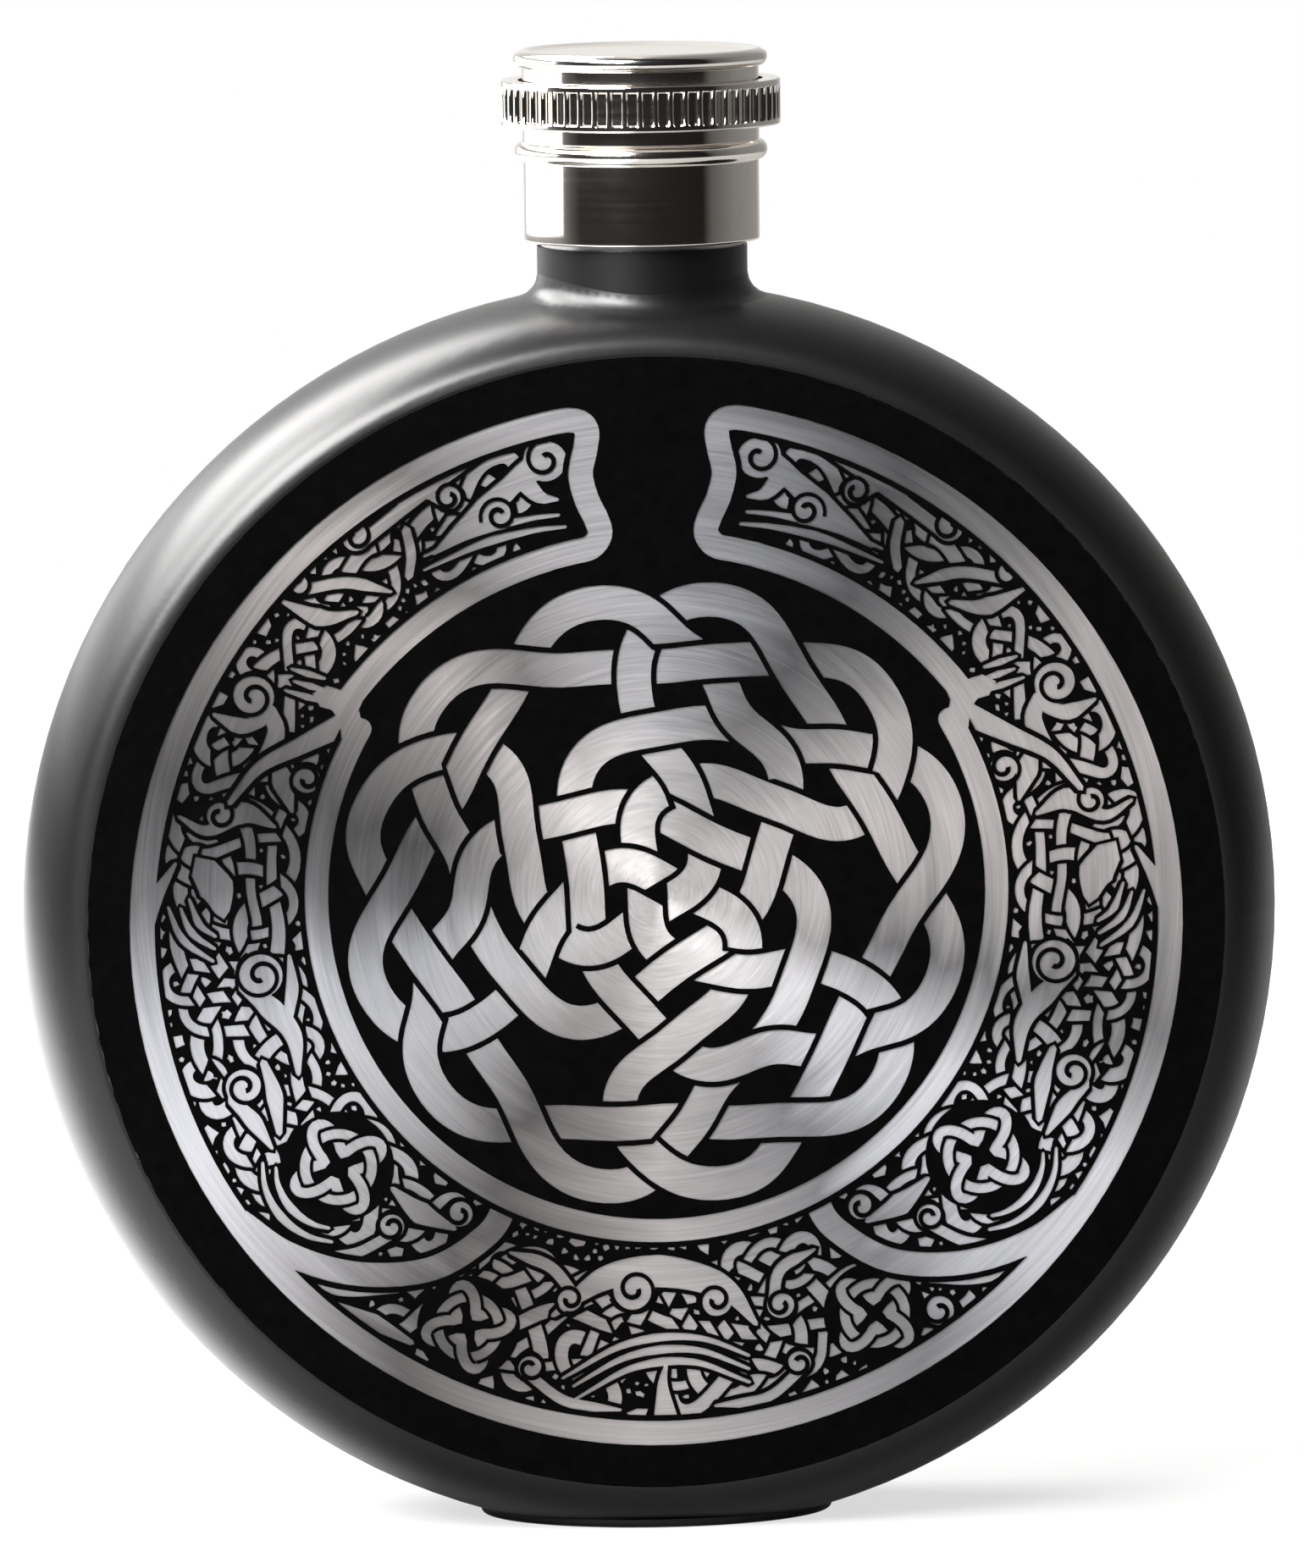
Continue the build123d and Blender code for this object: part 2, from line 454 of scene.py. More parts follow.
def bands(pattern):
    """Plain bright bands: the collar's edge, its lower dividers, its side points and the roundel's ring."""
    edge = left_edge()
    divider = curve_through([(-12.3, -22.2), (-14.0, -24.9), (-18.5, -27.6), (-24.5, -27.9), (-30.0, -26.2),
                             (-33.9, -23.4)])
    horn = curve_through([(-24.6, 16.8), (-28.5, 14.9), (-31.8, 13.2), (-34.2, 10.4)])
    nick = curve_through([(-41.4, 0.6), (-40.2, 3.0), (-38.6, 5.6)])
    join = curve_through([(-26.6, 18.9), (-25.3, 18.4), (-24.5, 17.0), (-24.3, 15.6)], 0.3)
    end = ROUNDEL + ROUNDEL_R * np.array([cos(radians(30)), sin(radians(30))])
    for flip in (1, -1):
        pattern.stroke(edge * (flip, 1), BAND, EDGE, 0.45)
        pattern.stroke(divider * (flip, 1), BAND, EDGE, 0.45)
        pattern.stroke(horn * (flip, 1), np.linspace(BAND, 0.5, len(horn)), EDGE, 0.4)
        pattern.stroke(nick * (flip, 1), np.linspace(BAND, 0.3, len(nick)), EDGE, 0.4)
        pattern.stroke(join * (flip, 1), 1.8, JOIN)
        pattern.add(arc(end * (flip, 1), 0.95, 0, 345, 0.25), JOIN)
    pattern.stroke(arc(ROUNDEL, ROUNDEL_R, 150, 390, 0.5), 1.9, JOIN, 0.45)


def blank(pattern):
    """Plain black: the roundel's ground, the gap between the terminals and all outside the collar."""
    pattern.add(arc(ROUNDEL, ROUNDEL_R, 0, 357, 1.0), GROUND, "black")
    gap = np.vstack([[(-5.2, 44), (-5.2, 40.5)], [(-5.7, 36.3), (-4.3, 31.0)], arc((0, 0), INNER_R, 98, 82),
                     [(4.3, 31.0), (5.7, 36.3)], [(5.2, 40.5), (5.2, 44)]])
    pattern.add(gap, GROUND + 1, "black")
    neck = np.vstack([arc((0, 0), INNER_R, 145, 35), [(24, 12), (-24, 12)]])
    pattern.add(neck, GROUND, "black")
    for a in range(0, 360, 30):
        outside = np.vstack([arc((0, 0), 44.6, a, a + 30.5), arc((0, 0), OUTER_R, a + 30.5, a)])
        pattern.add(outside, GROUND, "black")


# ---- figures in the panels

HALO = 0.33                        # dark edge round a figure


def spiral(centre, outer, inner, start, turns, spin):
    """Points of a flat spiral, from its outer end inwards."""
    count = int(turns * 2 * pi * (outer + inner) / 2 / 0.3) + 8
    a = radians(start) + spin * np.linspace(0, turns * 2 * pi, count)
    r = np.linspace(outer, inner, count)
    return np.c_[centre[0] + r * np.cos(a), centre[1] + r * np.sin(a)]


def body(pattern, points, widths, layer=FIGURE):
    """Swelling stroke through a few points."""
    p = curve_through(points)
    pattern.stroke(p, taper(len(p), *widths), layer, HALO)


def curl_head(pattern, centre, radius, start, spin, turns=1.45):
    """Round head with a dark spiral cut into it."""
    pattern.add(arc(centre, radius, 0, 345, 0.35), FIGURE)
    pattern.add(arc(centre, radius + HALO, 0, 345, 0.4), FIGURE - 0.5, "black")
    line = spiral(centre, radius + 0.35, 0.32, start, turns, spin)
    n = to_the_right(directions(line, False))
    h = np.linspace(0.14, 0.2, len(line))[:, None]
    pattern.add(np.vstack([line + n * h, (line - n * h)[::-1]]), FIGURE + 1, "black")


def tendril(pattern, points, width, radius, turns, spin):
    """Stroke that swells into a curled head."""
    p = curve_through(points)
    w = np.interp(np.linspace(0, 1, len(p)), [0, 0.3, 1], [0.25, width, width * 0.9])
    pattern.stroke(p, w, FIGURE, HALO)
    inward = left_of(unit(p[-1] - p[-4])) * spin
    start = degrees(atan2(-inward[1], -inward[0])) - spin * 60
    curl_head(pattern, p[-1] + inward * (radius - width / 2), radius, start + 180, spin, turns)


def ring_knot(pattern, centre, radius, turn):
    """A ring woven with a four-lobed line on a dark ground."""
    c = np.array(centre)
    a = np.linspace(0, 2 * pi, 200, endpoint=False)
    round_line = c + radius * 0.72 * np.c_[np.cos(a), np.sin(a)]
    r = radius * (0.66 + 0.36 * np.cos(4 * a + 0.2))
    lobed_line = c + r[:, None] * np.c_[np.cos(a + turn), np.sin(a + turn)]
    pattern.add(arc(c, radius + 0.75, 0, 350, 0.6), SMALL_KNOT - 1, "black")
    strands = [spaced(line, True, 0.3) for line in (round_line, lobed_line)]
    pattern.ribbons(strands, [0.8, 0.85], 0.26, SMALL_KNOT)


def hatch(pattern, points, offsets, width=0.6):
    """Several tapered lines side by side."""
    p = curve_through(points)
    n = to_the_right(directions(p, False))
    for k, offset in enumerate(offsets):
        q = (p + n * offset)[k % 2:len(p) - (k % 3)]
        pattern.stroke(q, taper(len(q), 0.25, width, 0.3), FIGURE, 0.3)


def side_figures(p):
    """Bodies, curls and a ring knot of the left side."""
    body(p, [(-17.6, 30.2), (-15.0, 32.2), (-12.6, 34.4), (-10.6, 36.2), (-9.0, 37.3)],
         [0.3, 1.6, 2.1, 1.7, 2.3])
    curl_head(p, (-8.6, 37.6), 1.75, -50, 1)
    body(p, [(-10.4, 36.0), (-9.0, 34.6), (-7.6, 34.4)], [1.6, 1.2, 0.3])
    curl_head(p, (-12.3, 33.2), 1.2, 200, -1)
    tendril(p, [(-10.6, 38.8), (-13.6, 38.3), (-16.6, 36.4), (-20.2, 33.7), (-23.4, 31.2)],
            1.15, 1.15, 1.2, -1)
    tendril(p, [(-21.6, 34.2), (-18.4, 35.0), (-16.6, 34.2)], 0.8, 0.95, 1.2, 1)
    hatch(p, [(-18.4, 28.9), (-13.8, 30.9), (-9.8, 31.9), (-7.0, 32.2)], [0.0, 1.0], 0.75)
    body(p, [(-19.8, 32.2), (-19.4, 30.2), (-19.6, 28.4)], [0.75, 0.85, 0.7], FIGURE + 1)
    tendril(p, [(-21.0, 27.2), (-24.6, 28.0), (-28.4, 27.4)], 1.0, 0.9, 1.3, -1)
    body(p, [(-29.8, 26.6), (-26.6, 25.2), (-23.8, 25.6)], [0.3, 1.5, 0.4])
    curl_head(p, (-32.2, 18.9), 1.7, 80, 1)
    body(p, [(-35.4, 17.6), (-33.2, 16.6), (-31.4, 17.0)], [0.3, 1.4, 0.9])
    body(p, [(-31.0, 17.9), (-30.4, 16.0), (-31.6, 13.6), (-33.4, 11.6)], [1.2, 1.5, 1.1, 0.3])
    hatch(p, [(-29.4, 20.3), (-27.2, 19.6), (-25.8, 19.2)], [-0.9, 0.0, 0.9])
    body(p, [(-30.6, 14.4), (-30.0, 12.4), (-29.2, 9.6)], [0.4, 1.9, 0.3])
    curl_head(p, (-28.0, 12.2), 1.1, 250, -1, 1.2)
    body(p, [(-38.3, 9.4), (-36.0, 8.2), (-33.2, 9.6), (-30.6, 8.4)], [0.3, 1.0, 1.9, 0.3])
    curl_head(p, (-35.0, 9.4), 1.05, 160, -1, 1.2)
    body(p, [(-36.4, 5.2), (-35.3, 3.4), (-34.9, 1.6)], [2.2, 2.9, 1.2])
    hatch(p, [(-38.4, 2.4), (-37.4, 0.0), (-35.2, -1.6)], [-0.9, 0.0, 0.9], 0.65)
    curl_head(p, (-31.9, -3.6), 1.75, 120, 1)
    body(p, [(-33.4, -4.4), (-31.4, -6.0), (-29.4, -8.4), (-29.0, -11.6)], [0.9, 1.9, 1.4, 0.4])
    body(p, [(-29.6, -2.0), (-29.4, -4.6), (-29.8, -7.2)], [0.3, 1.1, 0.8])
    curl_head(p, (-33.4, -12.6), 1.45, 100, -1)
    body(p, [(-34.4, -13.6), (-32.8, -15.2), (-31.2, -17.6)], [0.8, 1.4, 0.3])
    body(p, [(-31.8, -10.6), (-31.0, -13.0), (-30.6, -16.4)], [0.6, 1.4, 0.5])
    ring_knot(p, (-25.9, -19.2), 3.75, 0.5)
    hatch(p, arc((-25.9, -19.2), 5.6, 175, 265, 1.5), [-0.5, 0.55, 1.6], 0.75)
    tendril(p, [(-27.6, -26.3), (-24.6, -26.2), (-21.4, -24.6)], 0.9, 1.0, 1.3, 1)
    body(p, [(-21.6, -21.0), (-19.4, -23.0), (-16.6, -24.4)], [0.4, 1.9, 0.4])
    curl_head(p, (-16.2, -23.2), 1.05, 0, 1, 1.2)


def foot_figures(p):
    """The same for the panel under the roundel."""
    body(p, [(-8.8, -31.6), (-4.4, -28.6), (0.4, -28.2), (5.0, -29.6), (7.6, -32.6)],
         [0.4, 1.9, 2.7, 2.2, 0.4])
    curl_head(p, (-2.2, -29.6), 1.7, 200, 1)
    curl_head(p, (4.4, -30.6), 1.3, -30, -1)
    hatch(p, [(-7.6, -37.6), (-2.6, -35.0), (2.6, -34.6), (7.4, -36.4)], [-1.0, 0.0, 1.0], 0.75)
    ring_knot(p, (-15.6, -32.4), 3.4, 0.2)
    ring_knot(p, (17.2, -31.9), 3.4, 0.9)
    tendril(p, [(-12.2, -26.4), (-9.0, -27.6), (-7.0, -30.0)], 1.0, 1.0, 1.3, -1)
    tendril(p, [(12.4, -26.6), (9.6, -28.2), (9.0, -31.0)], 1.0, 1.1, 1.3, 1)
    tendril(p, [(4.2, -39.2), (8.4, -38.6), (11.4, -36.2)], 0.9, 0.95, 1.2, 1)
    tendril(p, [(-3.4, -39.4), (-7.8, -38.6), (-11.0, -36.2)], 0.9, 0.95, 1.2, -1)
    body(p, [(-30.6, -26.6), (-25.8, -28.9), (-21.2, -29.4)], [0.3, 1.7, 0.3])
    body(p, [(30.6, -26.6), (25.8, -28.9), (21.6, -29.4)], [0.3, 1.7, 0.3])
    body(p, [(-26.4, -30.2), (-22.6, -32.2), (-20.2, -33.6)], [0.3, 1.4, 0.5])
    curl_head(p, (22.4, -31.8), 1.2, 40, 1, 1.2)
    body(p, [(0.2, -40.0), (0.0, -37.4), (0.3, -35.8)], [1.9, 1.0, 0.3])


# ---- woven filling between the figures

def divider_height(x):
    """Height of the divider between the side panels and the lower one, by distance from the middle."""
    across = [0, 12.5, 14.0, 18.5, 24.5, 30.0, 34.0]
    return np.interp(x, across, [-20, -21.5, -24.9, -27.6, -27.9, -26.2, -23.6])


def in_ring(x, y, margin):
    """Whether a point lies between the roundel's ring and the collar's outer edge."""
    beyond_roundel = hypot(x, y - ROUNDEL[1]) >= ROUNDEL_R + 0.95 + margin
    return beyond_roundel and hypot(x, y) <= OUTER_R - BAND / 2 - margin


def in_collar(p, margin):
    """Whether a point lies in the left half of the collar, away from its edges."""
    x, y = p
    if y > CUSP_Y and (hypot(x, y) < INNER_R + BAND / 2 + margin or x > TERMINAL_X - margin):
        return False
    above = y > divider_height(max(-x, 14.0)) + BAND / 2 + margin
    return above and x < -10 and in_ring(x, y, margin)


def in_foot(p, margin):
    """The same for the whole panel under the roundel."""
    x, y = p
    return y < divider_height(abs(x)) - BAND / 2 - margin and in_ring(x, y, margin)


def fill_graph(inside, box, seed):
    """Jittered lattice inside a region, joined to its neighbours, with some of the joins left out."""
    pitch, longest, kept_share = 3.0, 1.55, 0.8
    rng = random.Random(seed)
    P = []
    rows = int((box[3] - box[1]) / (pitch * 0.866)) + 1
    for j in range(rows):
        y = box[1] + j * pitch * 0.866
        x = box[0] + (j % 2) * pitch / 2
        while x < box[2]:
            q = (x + rng.uniform(-0.22, 0.22) * pitch, y + rng.uniform(-0.22, 0.22) * pitch)
            if inside(q, 0.9):
                P.append(q)
            x += pitch
    out = delaunay_2d_cdt(P, [], [], 0, 1e-5, False)
    P = [tuple(v) for v in out[0]]
    joins = {(min(a, b), max(a, b)) for cell in out[2] for a, b in zip(cell, cell[1:] + cell[:1])}
    E = []
    for a, b in sorted(joins):
        (ax, ay), (bx, by) = P[a], P[b]
        if hypot(ax - bx, ay - by) < longest * pitch and inside(((ax + bx) / 2, (ay + by) / 2), 0.7):
            E.append((a, b))
    degree = [0] * len(P)
    for a, b in E:
        degree[a] += 1
        degree[b] += 1
    order = E[:]
    rng.shuffle(order)
    target = int(len(E) * kept_share)
    kept = set(E)
    for a, b in order:
        if len(kept) > target and degree[a] > 3 and degree[b] > 3:
            kept.discard((a, b))
            degree[a] -= 1
            degree[b] -= 1
    used = sorted({i for e in kept for i in e})
    number = {i: k for k, i in enumerate(used)}
    return [P[i] for i in used], [(number[a], number[b]) for a, b in sorted(kept)]


def keep_in_collar(p):
    """Points moved back between the roundel and the collar's outer edge."""
    outermost, innermost = 39.85, 28.85
    r = np.hypot(*p.T)
    d = p * (np.minimum(r, outermost) / r)[:, None] - ROUNDEL
    q = np.hypot(*d.T)
    return ROUNDEL + d * (np.maximum(q, innermost) / q)[:, None]


def swelling(strand, width, phase):
    """Widths that swell and shrink along a closed strand."""
    s = np.linspace(0, 2 * pi, len(strand), endpoint=False)
    waves = max(1, int(len(strand) * STEP / 22))
    return width * (1 + 0.22 * np.sin(waves * s + phase))


def weave_fill(pattern, inside, box, seed):
    """Fine woven strands all over a region."""
    clear, rounds, width, gap = 1.38, 120, 0.95, 0.28
    strands = spread(graph_knot(*fill_graph(inside, box, seed)), clear, rounds, keep_in_collar)
    pattern.ribbons(strands, [swelling(s, width, k) for k, s in enumerate(strands)], gap, FILL)


class SolidTest:
    """Point-in-outline test for many small outlines, sorted into square cells."""

    def __init__(self, outlines):
        self.cell = 2.0
        self.bins = {}
        for p in outlines:
            lo, hi = p.min(0) // self.cell, p.max(0) // self.cell
            for i in range(int(lo[0]), int(hi[0]) + 1):
                for j in range(int(lo[1]), int(hi[1]) + 1):
                    self.bins.setdefault((i, j), []).append(p)

    def covers(self, q):
        for p in self.bins.get((int(q[0] // self.cell), int(q[1] // self.cell)), []):
            x, y = p.T
            nx, ny = np.roll(x, -1), np.roll(y, -1)
            hit = (y > q[1]) != (ny > q[1])
            if not hit.any():
                continue
            at = x[hit] + (q[1] - y[hit]) * (nx[hit] - x[hit]) / (ny[hit] - y[hit])
            if (at > q[0]).sum() % 2:
                return True
        return False


def crumb(centre, radius, rng):
    """Outline of a small leaf or speck."""
    corners = rng.choice((3, 3, 4, 5))
    turn = rng.uniform(0, 2 * pi)
    flat = rng.uniform(0.55, 1.0)
    lean = rng.uniform(0, pi)
    shape = []
    for k in range(corners):
        for sub, pull in ((0, 1.0), (0.5, rng.uniform(0.6, 0.85))):
            a = turn + 2 * pi * (k + sub + rng.uniform(-0.12, 0.12)) / corners
            along, across = radius * pull * cos(a), radius * pull * sin(a) * flat
            shape.append((centre[0] + along * cos(lean) - across * sin(lean),
                          centre[1] + along * sin(lean) + across * cos(lean)))
    return np.array(shape)


def crumbs(pattern, inside, box, seed):
    """Small leaves and specks in what is left of the ground."""
    least = 0.42
    rng = random.Random(seed)
    outlines = [p for p, _, kind, _ in pattern.patches if kind in ("steel", "under")]
    cloud = np.vstack([spaced(p, True, 0.3) for p in outlines])
    tree = KDTree(len(cloud))
    for k, (x, y) in enumerate(cloud):
        tree.insert((x, y, 0), k)
    tree.balance()
    solid = SolidTest(outlines)
    spots = []
    for x in np.arange(box[0], box[2], 0.3):
        for y in np.arange(box[1], box[3], 0.3):
            q = (x + rng.uniform(-0.1, 0.1), y + rng.uniform(-0.1, 0.1))
            if not inside(q, 0.35):
                continue
            d = tree.find((q[0], q[1], 0))[2]
            if d > least and not solid.covers(q):
                spots.append((d, q))
    spots.sort(reverse=True)
    placed = []
    for room, q in spots:
        for p, r in placed:
            room = min(room, hypot(p[0] - q[0], p[1] - q[1]) - r)
        if room < least:
            continue
        r = min(room - 0.22, 1.0)
        pattern.add(crumb(q, r, rng), FILL)
        placed.append((q, r))


def panel(inside, box, figures, weave_seed, crumb_seed):
    """One panel with its filling, figures and specks."""
    pattern = Pattern()
    weave_fill(pattern, inside, box, weave_seed)
    figures(pattern)
    crumbs(pattern, inside, box, crumb_seed)
    return pattern


def panels(pattern):
    """The two side panels, mirror images of each other, and the panel under the roundel."""
    side = panel(in_collar, (-42, -30, -5, 42), side_figures, 5, 3)
    foot = panel(in_foot, (-36, -42, 36, -20), foot_figures, 9, 4)
    for piece, flip in ((side, 1), (side, -1), (foot, 1)):
        piece.into(pattern, flip)


# ---- the coat as a mesh

def new_object(name, verts, faces):
    """Puts an object with a mesh of its own in the scene."""
    mesh = bpy.data.meshes.new(name)
    mesh.from_pydata(verts, [], faces)
    mesh.validate()
    mesh.update()
    made = bpy.data.objects.new(name, mesh)
    bpy.context.scene.collection.objects.link(made)
    return made


def border_loops(points, triangles):
    """Closed loops round a set of triangles, each with the triangles on its left."""
    edges = dict.fromkeys(edge for a, b, c in triangles for edge in ((a, b), (b, c), (c, a)))
    onward = {}
    for a, b in edges:
        if (b, a) not in edges:
            onward.setdefault(a, []).append(b)
    loops = []
    while onward:
        start = next(iter(onward))
        loop = [start]
        while True:
            here = loop[-1]
            choices = onward[here]
            after = choices[0]
            if len(choices) > 1:
                back = points[here] - points[loop[-2]] if len(loop) > 1 else points[after] - points[here]
                heading = atan2(back[1], back[0])

                def turn(k):
                    d = points[k] - points[here]
                    return (atan2(d[1], d[0]) - heading + pi) % (2 * pi)

                after = max(choices, key=turn)
            choices.remove(after)
            if not choices:
                del onward[here]
            if after == start:
                break
            loop.append(after)
        loops.append(points[loop])
    return loops


def thinned(loop, tolerance):
    """The same loop without the points that lie within tolerance of the line between their neighbours."""
    far = int(np.argmax(np.hypot(*(loop - loop[0]).T)))
    keep = {0, far}
    stack = [(0, far), (far, len(loop))]
    closed = np.vstack([loop, loop[:1]])
    while stack:
        a, b = stack.pop()
        if b - a < 2:
            continue
        chord = closed[b] - closed[a]
        rel = closed[a + 1:b] - closed[a]
        off = np.abs(cross(rel, chord)) / max(hypot(*chord), 1e-9)
        worst = int(np.argmax(off))
        if off[worst] > tolerance:
            keep.add(a + 1 + worst)
            stack += [(a, a + 1 + worst), (a + 1 + worst, b)]
    return loop[sorted(keep)]


def engraved_coat(pattern):
    """The coat as a thin closed solid with an opening wherever the engraving bares the steel."""
    points, triangles, steel = pattern.triangles(arc((0, 0), DISC_R, 0, 359, 0.8))
    loops = [thinned(loop, 0.015) for loop in border_loops(points, triangles[~steel])]
    loops = [loop for loop in loops if len(loop) > 2 and abs(signed_area(loop)) > 0.03]
    verts, faces = [], []
    for loop in loops:
        loop = loop if signed_area(loop) > 0 else loop[::-1]
        faces.append(list(range(len(verts), len(verts) + len(loop))))
        verts += [tuple(q) for q in loop]
    flat, _, cells, _, _, origin = delaunay_2d_cdt(verts, [], faces, 1, 1e-4, True)
    cells = [cell for cell, ids in zip(cells, origin) if len(ids) % 2]
    used = sorted({k for cell in cells for k in cell})
    number = {k: i for i, k in enumerate(used)}
    cells = [[number[k] for k in cell] for cell in cells]
    front = [(flat[k].x * MM, COAT_LOW.y, DISC_Z + flat[k].y * MM) for k in used]
    back = [(x, COAT_HIGH.y, z) for x, _, z in front]
    n = len(front)
    edges = {(a, b) for cell in cells for a, b in zip(cell, cell[1:] + cell[:1])}
    walls = [(b, a, a + n, b + n) for a, b in edges if (b, a) not in edges]
    behind = [[k + n for k in cell[::-1]] for cell in cells]
    return new_object("engraved_coat", front + back, cells + behind + walls)


# ---- materials

class Nodes:
    """Short calls for building the node tree of a new material or world."""

    def __init__(self, name, world=False):
        self.owner = bpy.data.worlds.new(name) if world else bpy.data.materials.new(name)
        self.owner.use_nodes = True
        self.tree = self.owner.node_tree
        self.shader = self.tree.nodes["Background" if world else "Principled BSDF"]

    def give(self, socket, value):
        if isinstance(value, bpy.types.NodeSocket):
            self.tree.links.new(value, socket)
        else:
            socket.default_value = value

    def add(self, kind, out, **inputs):
        node = self.tree.nodes.new(kind)
        for name, value in inputs.items():
            self.give(node.inputs[name.replace("_", " ")], value)
        return node.outputs[out]

    def math(self, operation, a, b=0.0):
        node = self.tree.nodes.new("ShaderNodeMath")
        node.operation = operation
        self.give(node.inputs[0], a)
        self.give(node.inputs[1], b)
        return node.outputs[0]

    def length(self, x, y):
        return self.math("SQRT", self.math("ADD", self.math("MULTIPLY", x, x), self.math("MULTIPLY", y, y)))

    def between(self, value, low, high):
        """low where value is 0 and high where it is 1."""
        return self.add("ShaderNodeMapRange", "Result", Value=value, To_Min=low, To_Max=high)

    def ramp(self, value, *stops):
        """Colour ramp with (position, (r, g, b)) stops."""
        node = self.tree.nodes.new("ShaderNodeValToRGB")
        points = node.color_ramp.elements
        while len(points) < len(stops):
            points.new(0.5)
        for point, (place, colour) in zip(points, stops):
            point.position = place
            point.color = (*colour, 1)
        self.give(node.inputs["Fac"], value)
        return node.outputs["Color"]

    def mix(self, blend, factor, a, b):
        node = self.tree.nodes.new("ShaderNodeMix")
        node.data_type = "RGBA"
        node.blend_type = blend
        factor_socket, a_socket, b_socket = 0, 6, 7
        for k, value in ((factor_socket, factor), (a_socket, a), (b_socket, b)):
            self.give(node.inputs[k], value)
        return node.outputs[2]

    def noise(self, vector, scale, detail=2.0, roughness=0.5):
        return self.add("ShaderNodeTexNoise", "Fac", Vector=vector, Scale=scale, Detail=detail,
                        Roughness=roughness)

    def bump(self, height, distance, strength=1.0):
        return self.add("ShaderNodeBump", "Normal", Height=height, Distance=distance, Strength=strength)

    def place(self):
        return self.add("ShaderNodeTexCoord", "Object")

    def parts(self, vector):
        return self.add("ShaderNodeSeparateXYZ", "X", Vector=vector).node.outputs

    def stretched(self, x, y, z, kx, ky, kz):
        """Place with each part scaled on its own, for streaky noise."""
        x, y, z = (self.math("MULTIPLY", part, k) for part, k in ((x, kx), (y, ky), (z, kz)))
        return self.add("ShaderNodeCombineXYZ", "Vector", X=x, Y=y, Z=z)

    def set(self, **inputs):
        for name, value in inputs.items():
            if isinstance(value, tuple):
                value = (*value, 1)
            self.give(self.shader.inputs[name.replace("_", " ")], value)
        return self.owner


def grey(level):
    return (level, level, level)


def powder_coat():
    """Satin black powder coat: a fine even grain, slightly uneven gloss."""
    n = Nodes("powder_coat")
    where = n.place()
    grain = n.noise(where, 2600)
    cloud = n.noise(where, 55, 3)
    tone = n.ramp(cloud, (0.3, (0.0012, 0.0012, 0.0014)), (0.7, (0.0020, 0.0020, 0.0023)))
    return n.set(Base_Color=tone, Roughness=n.between(cloud, 0.31, 0.36), Specular_IOR_Level=0.24,
                 Normal=n.bump(grain, 0.00002, 0.3))


def disc_enamel():
    """Dead matt black of the disc."""
    n = Nodes("disc_enamel")
    mottle = n.noise(n.place(), 900)
    tone = n.ramp(mottle, (0.3, grey(0.0)), (0.7, grey(0.0003)))
    return n.set(Base_Color=tone, Roughness=0.9, Specular_IOR_Level=0.02)


# Painted glint wedges of the turned steel, painted highlights and shade in its base colour: (degrees
# anticlockwise from the right, brightness), fading between them
PAINTED_GLINT_WEDGES = (
    (0, 0.70), (15, 1.0), (31, 1.0), (45, 0.50), (60, 0.22), (75, 0.50), (92, 0.62), (105, 0.46), (120, 0.18),
    (135, 0.38), (150, 0.24), (165, 0.12), (180, 0.21), (195, 0.55), (210, 0.60), (225, 0.42), (240, 0.15),
    (255, 0.33), (270, 0.56), (285, 0.36), (300, 0.22), (315, 0.57), (330, 0.72), (345, 0.27), (360, 0.70))


def painted_glint_tone(level, angle):
    """Grey at a painted glint level, with a faint drift between cool and warm round the disc."""
    drift = 0.035 * sin(radians(3 * angle + 40))
    return (level * (0.99 + drift), level * 0.97, level * (1.0 - drift))


def brushed_steel():
    """Steel turned under a fine abrasive: scratches round the disc's centre. Its base colour has painted
    highlights and shade: bright and dark wedges round the disc and a brighter middle.
    """
    n = Nodes("brushed_steel")
    x, _, z = n.parts(n.place())
    z = n.math("SUBTRACT", z, DISC_Z + ROUNDEL[1] * MM)
    r = n.length(x, z)
    cx, cz = n.math("DIVIDE", x, r), n.math("DIVIDE", z, r)
    fine = n.noise(n.stretched(cx, cz, r, 2.2, 2.2, 5200), 1.0, 3, 0.7)
    broad = n.noise(n.stretched(cx, cz, r, 1.4, 1.4, 420), 1.0)
    sway = n.math("MULTIPLY", n.math("SUBTRACT", broad, 0.5), 0.06)
    sweep = n.math("ADD", n.math("DIVIDE", n.math("ARCTAN2", z, x), 2 * pi), sway)
    # Painted highlights and shade: the base colour steps through bright and dark wedges round the disc's
    # centre.
    wedges = [(angle / 360, painted_glint_tone(level, angle)) for angle, level in PAINTED_GLINT_WEDGES]
    tint = n.ramp(n.math("FRACT", n.math("ADD", sweep, 1.0)), *wedges)
    # Painted highlight: the base colour turns light grey towards the disc's centre.
    painted_bright_centre = n.ramp(n.math("MULTIPLY", r, 40), (0.12, grey(0.95)), (0.75, grey(0.0)))
    tint = n.mix("MIX", painted_bright_centre, tint, (0.90, 0.87, 0.87, 1))
    tint = n.mix("MULTIPLY", 0.8, tint, n.ramp(fine, (0.3, grey(0.72)), (0.7, grey(1.0))))
    both = n.math("ADD", n.math("MULTIPLY", fine, 0.5), n.math("MULTIPLY", broad, 0.5))
    return n.set(Base_Color=tint, Metallic=1.0, Roughness=n.between(both, 0.26, 0.40), Anisotropic=0.4,
                 Tangent=n.add("ShaderNodeCombineXYZ", "Vector", X=cx, Y=0.0, Z=cz),
                 Normal=n.bump(fine, 0.000012, 0.5))


def nickel():
    """Bright nickel plate with a trace of handling."""
    n = Nodes("nickel_plate")
    where = n.place()
    smear = n.noise(where, 160, 4, 0.65)
    wipe = n.noise(n.stretched(*n.parts(where), 60, 60, 2400), 1.0)
    tone = n.ramp(smear, (0.35, (0.80, 0.755, 0.70)), (0.65, (0.86, 0.82, 0.77)))
    polish = n.between(n.math("MULTIPLY", smear, wipe), 0.06, 0.22)
    return n.set(Base_Color=tone, Metallic=1.0, Roughness=polish, Normal=n.bump(wipe, 0.000006, 0.25))


